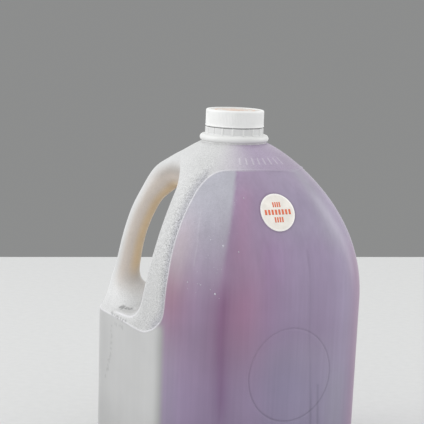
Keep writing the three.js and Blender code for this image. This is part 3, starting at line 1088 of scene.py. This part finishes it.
def milky_material():
    m = Nodes("milky_plastic")
    stipple = m.attribute("stipple", "Fac")
    streak = m.attribute("streak", "Fac")
    broad = m.swing(m.noise(1, 3, BROAD_STREAKS), 0.05, streak)
    streaks = m.times(broad, m.swing(m.noise(1, 2, FINE_STREAKS), 0.03, streak))
    clouds = m.spread(m.noise(22, 3), 0.95, 1.05)
    grain = m.noise(GRAIN_SCALE, 2)
    shade = m.times(m.times(streaks, clouds), m.swing(grain, 0.75, stipple))
    return m.finished(
        Base_Color=m.shaded(m.attribute("wall_colour", "Color"), shade),
        Roughness=m.spread(stipple, 0.34, 0.5, 0, 0.5),
        Normal=m.bump(grain, GRAIN_DEPTH, m.spread(stipple, 0.03, 1, 0, 0.7)),
        IOR=1.5,
    )


def paper_material():
    m = Nodes("sticker_paper")
    shade = m.spread(m.noise(160, 4), 0.94, 1.06)
    return m.finished(
        Base_Color=m.shaded(m.attribute("paper_colour", "Color"), shade),
        Roughness=m.spread(m.noise(300, 2), 0.46, 0.56),
        Normal=m.bump(m.noise(700, 3), 0.0001),
    )


def plastic_material(name, colour, roughness, grain=0.02):
    m = Nodes(name)
    colour = np.array(colour)
    return m.finished(
        Base_Color=m.two_tone(m.noise(140, 3), colour * (1 - grain), colour * (1 + grain)),
        Roughness=m.spread(m.noise(300, 2), roughness - 0.04, roughness + 0.04),
        Normal=m.bump(m.noise(900, 2), 0.00005),
    )


def tea_material():
    m = Nodes("tea")
    return m.finished(Base_Color=m.two_tone(m.noise(18, 3), TEA_DARK, TEA_LIGHT), Roughness=0.1, IOR=1.33)


def dress(made, material, slot, *nodes):
    made.data.materials.clear()
    made.data.materials.append(material)
    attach(made, "root")
    if nodes:
        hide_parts(*nodes)


def make_skin():
    vertices, quads = skin_mesh()
    vertices, _ = on_skin(vertices)
    made = new_object("jug_skin", vertices, quads)
    mould_line = mould_line_points()
    rng = np.random.default_rng(SEED)
    lines = [
        (mould_line, LINE_HEIGHT, LINE_WIDTH),
        (ring_points(), -RING_DEPTH, RING_WIDTH),
        (bar_points(), BAR_HEIGHT, BAR_WIDTH),
        (crest_points(), CREST_HEIGHT, CREST_WIDTH),
        (traced(DRIP), DRIP_HEIGHT, DRIP_WIDTH),
        (label_edge_points(), 0, LABEL_SHADE_WIDTH),
        (np.vstack([traced(crease) for crease in CREASES]), -CREASE_DEPTH, CREASE_WIDTH),
    ]
    lines += [(fleck_points(*ends, count, rng), 0, FLECK_WIDTH) for *ends, count, _ in DARK_FLECKS]
    points, (line, ring, bars, crest, drip, label, crease, *flecks) = relief(made, lines)
    colours, stipple, streak = skin_colours(points, nearest_distance(points, mould_line, LINE_NEAR))
    turn = turn_of(points)
    z = points[:, 2]
    # Painted highlights along the raised mould line and the crest: the line's is clearest beside the
    # handle, the crest's low down; both fade where they end.
    line *= 0.02 + 0.1 * ramp(10, 50, turn) + 0.7 * ramp(60, 95, turn)
    line *= 1 - 0.35 * hump(z, 124, 14)
    crest *= (0.6 + 0.3 * ramp(145, 125, z)) * ramp(212, 200, z)
    crest *= ramp(-78, -68, points[:, 0])
    paler = [line, crest, BAR_PALE * bars, DRIP_PALE * drip]
    colours = mixed(colours, LINE_PALE, np.max(paler, axis=0))
    darker = ring * (RING_SHADE[0] + RING_SHADE[1] * ramp(100, 55, z)) + LABEL_SHADE * label
    darker += crease * (CREASE_SHADE[0] + CREASE_SHADE[1] * ramp(80, 50, z))
    colours *= (1 - darker)[:, None]
    for share, (*_, darkness) in zip(flecks, DARK_FLECKS):
        colours *= (1 - darkness * share)[:, None]
    set_colours(made, "wall_colour", colours)
    set_values(made, "stipple", stipple)
    set_values(made, "streak", streak)
    return made


def camera_frame():
    """The camera's directions across, up and back, before its last small turn, and its place."""
    az, el, roll = (math.radians(a) for a in (CAMERA_AZIMUTH, CAMERA_ELEVATION, CAMERA_ROLL))
    back = Vector((math.sin(az) * math.cos(el), -math.cos(az) * math.cos(el), math.sin(el)))
    right = Vector((math.cos(az), math.sin(az), 0))
    up = back.cross(right)
    across = right * math.cos(roll) + up * math.sin(roll)
    upright = up * math.cos(roll) - right * math.sin(roll)
    return across, upright, back, Vector((0, 0, CAMERA_TARGET_Z)) + back * CAMERA_DISTANCE


def make_camera():
    across, upright, back, eye = camera_frame()
    # The middle of the picture is not the target: the camera turns by that little.
    off_x = (PICTURE / 2 - TARGET_PIXEL[0]) / CAMERA_FOCAL
    off_y = (TARGET_PIXEL[1] - PICTURE / 2) / CAMERA_FOCAL
    back = (back - across * off_x - upright * off_y).normalized()
    across = upright.cross(back).normalized()
    upright = back.cross(across)
    data = bpy.data.cameras.new("camera")
    data.sensor_width = SENSOR
    data.lens = SENSOR * CAMERA_FOCAL / PICTURE
    data.clip_end = 50
    camera = bpy.data.objects.new("camera", data)
    turn = Matrix((across, upright, back)).transposed().to_4x4()
    camera.matrix_world = Matrix.Translation(eye * MM) @ turn
    scene.collection.objects.link(camera)
    scene.camera = camera


def softbox(name, azimuth, elevation, distance, size, power):
    """An area light that looks at the jug."""
    az = math.radians(CAMERA_AZIMUTH - 90 - azimuth)
    el = math.radians(elevation)
    away = Vector((math.cos(az) * math.cos(el), math.sin(az) * math.cos(el), math.sin(el)))
    data = bpy.data.lights.new(name, "AREA")
    data.shape = "RECTANGLE"
    data.size, data.size_y = size
    data.energy = power
    light = bpy.data.objects.new(name, data)
    light.location = away * distance + Vector((0, 0, LIGHT_TARGET_Z))
    light.rotation_euler = away.to_track_quat("Z", "Y").to_euler()
    scene.collection.objects.link(light)


def floor_point(pixel_x, pixel_y):
    """The place on the floor, in millimetres, that a pixel of the picture shows."""
    across, upright, back, eye = camera_frame()
    ray = across * (pixel_x - TARGET_PIXEL[0]) - upright * (pixel_y - TARGET_PIXEL[1]) - back * CAMERA_FOCAL
    return eye - ray * (eye.z / ray.z)


def make_stage():
    left = floor_point(0, FLOOR_EDGE_PIXEL)
    right = floor_point(PICTURE, FLOOR_EDGE_PIXEL)
    aside = (right - left).normalized() * FLOOR_SIZE
    near = Vector((0, 0, 1)).cross(aside) * -1
    corners = [left - aside + near, right + aside + near, right + aside, left - aside]
    floor = new_object("floor", corners, [[0, 1, 2, 3]])
    floor.data.materials.append(plastic_material("floor", FLOOR_GREY, 0.7))
    world = bpy.data.worlds.new("studio")
    world.use_nodes = True
    nodes = world.node_tree.nodes
    background = nodes["Background"]
    background.inputs["Color"].default_value = (*WALL_GREY, 1)
    # The room lights the jug more than the plain wall behind it shows.
    seen = nodes.new("ShaderNodeLightPath").outputs["Is Camera Ray"]
    strength = nodes.new("ShaderNodeMapRange")
    strength.inputs["To Min"].default_value = ROOM_LIGHT
    strength.inputs["To Max"].default_value = 1
    world.node_tree.links.new(seen, strength.inputs["Value"])
    world.node_tree.links.new(strength.outputs["Result"], background.inputs["Strength"])
    scene.world = world
    scene.view_settings.view_transform = "Standard"
    softbox("key", *KEY_LIGHT)
    softbox("rim", *RIM_LIGHT)


milky = milky_material()
dress(make_skin(), milky, "milky_plastic", "jug")
dress(make_neck(), milky, "milky_plastic")
dress(make_drops(), plastic_material("drops", DROP_GREY, 0.12), "tea")
white = plastic_material("white_plastic", CAP_WHITE, 0.38)
dress(make_cap(), white, "white_plastic", "cap")
dress(make_sticker(), paper_material(), "sticker", "label")
dress(make_sticker_print(), plastic_material("orange_print", ORANGE, 0.5), "sticker")
dress(make_cap_disc(), plastic_material("cap_paper_shaded", CAP_PAPER_SHADED, 0.5), "cap_print", "cap_label")
dress(make_cap_print(), plastic_material("cap_ink", CAP_INK, 0.5), "cap_print")
dress(new_object("tea_fill", *skin_mesh(TEA_INSET, FILL_Z)), tea_material(), "tea", "tea")

make_camera()
make_stage()
